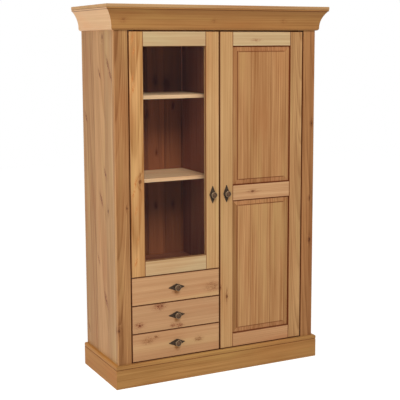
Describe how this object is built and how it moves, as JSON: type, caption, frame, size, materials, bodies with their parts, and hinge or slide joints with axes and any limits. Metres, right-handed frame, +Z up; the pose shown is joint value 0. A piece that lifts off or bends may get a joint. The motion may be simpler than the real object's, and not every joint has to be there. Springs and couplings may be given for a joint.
{
  "type": "display cabinet",
  "caption": "Free-standing pine display cabinet: a glazed door over drawers, beside a tall door of raised panels, under a moulded cornice",
  "frame": {"origin": "on the floor, at the centre of the outer box that the top board sets in width and depth", "axes": "+X to the right as one faces the doors, +Y to the back, +Z up; the doors face -Y"},
  "size_m": [1.184, 0.471, 1.8],
  "materials": {
    "pine": "knotty pine, light brown wax, satin",
    "pine_doors": "knotty pine, honey wax, satin",
    "pine_inside": "knotty pine, thin wax, low sheen",
    "glass": "clear, polished",
    "knob_metal": "antiqued bronze, rubbed bright at the rim",
    "plate_metal": "blackened antique iron, matt",
    "steel": "zinc-plated steel",
    "hinge_steel": "bronzed steel, low sheen",
    "catch_plastic": "brown moulded plastic",
    "beech": "plain beech, unfinished"
  },
  "bodies": {
    "carcass": {"side_left": "pine", "side_right": "pine", "post_left": "pine", "post_right": "pine", "ceiling_panel": "pine_inside", "bottom_panel": "pine_inside", "partition": "pine_inside", "middle_floor": "pine_inside", "drawer_side_board": "pine_inside", "back_boards": "pine_inside", "top_board": "pine", "cornice_front": "pine", "cornice_left": "pine", "cornice_right": "pine", "plinth_front": "pine", "plinth_left": "pine", "plinth_right": "pine", "left_shelf_lower": "pine_inside", "left_shelf_upper": "pine_inside", "right_shelf_lower": "pine_inside", "right_shelf_middle": "pine_inside", "right_shelf_upper": "pine_inside", "shelf_pins": "steel", "drawer_runners": "beech", "pivot_hinges": "hinge_steel", "magnetic_catches": "catch_plastic"},
    "glass_door": {"glass_door_stile_hinge": "pine_doors", "glass_door_stile_knob": "pine_doors", "glass_door_rail_top": "pine_doors", "glass_door_rail_bottom": "pine_doors", "glass_pane": "glass", "glass_beads": "pine_doors", "glass_door_knob": "knob_metal", "glass_door_knob_plate": "plate_metal", "glass_door_fittings": "hinge_steel"},
    "panel_door": {"panel_door_stile_hinge": "pine_doors", "panel_door_stile_knob": "pine_doors", "panel_door_rail_top": "pine_doors", "panel_door_rail_middle": "pine_doors", "panel_door_rail_bottom": "pine_doors", "panel_door_panel_upper": "pine_doors", "panel_door_panel_lower": "pine_doors", "panel_door_knob": "knob_metal", "panel_door_knob_plate": "plate_metal", "panel_door_fittings": "hinge_steel"},
    "drawer_bottom": {"drawer_bottom_front": "pine_doors", "drawer_bottom_walls": "beech", "drawer_bottom_bottom": "beech", "drawer_bottom_knob": "knob_metal", "drawer_bottom_knob_plate": "plate_metal"},
    "drawer_middle": {"drawer_middle_front": "pine_doors", "drawer_middle_walls": "beech", "drawer_middle_bottom": "beech", "drawer_middle_knob": "knob_metal", "drawer_middle_knob_plate": "plate_metal"},
    "drawer_top": {"drawer_top_front": "pine_doors", "drawer_top_walls": "beech", "drawer_top_bottom": "beech", "drawer_top_knob": "knob_metal", "drawer_top_knob_plate": "plate_metal"}
  },
  "joints": [
    {"name": "glass_door_hinge", "type": "hinge", "parent": "carcass", "child": "glass_door", "pos_m": [-0.454, -0.1775, 1.1], "axis": [0, 0, -1], "range_deg": [0, 110]},
    {"name": "panel_door_hinge", "type": "hinge", "parent": "carcass", "child": "panel_door", "pos_m": [0.454, -0.1775, 0.9], "axis": [0, 0, 1], "range_deg": [0, 110]},
    {"name": "drawer_bottom_slide", "type": "slide", "parent": "carcass", "child": "drawer_bottom", "axis": [0, -1, 0], "range_m": [0, 0.28]},
    {"name": "drawer_middle_slide", "type": "slide", "parent": "carcass", "child": "drawer_middle", "axis": [0, -1, 0], "range_m": [0, 0.28]},
    {"name": "drawer_top_slide", "type": "slide", "parent": "carcass", "child": "drawer_top", "axis": [0, -1, 0], "range_m": [0, 0.28]}
  ]
}
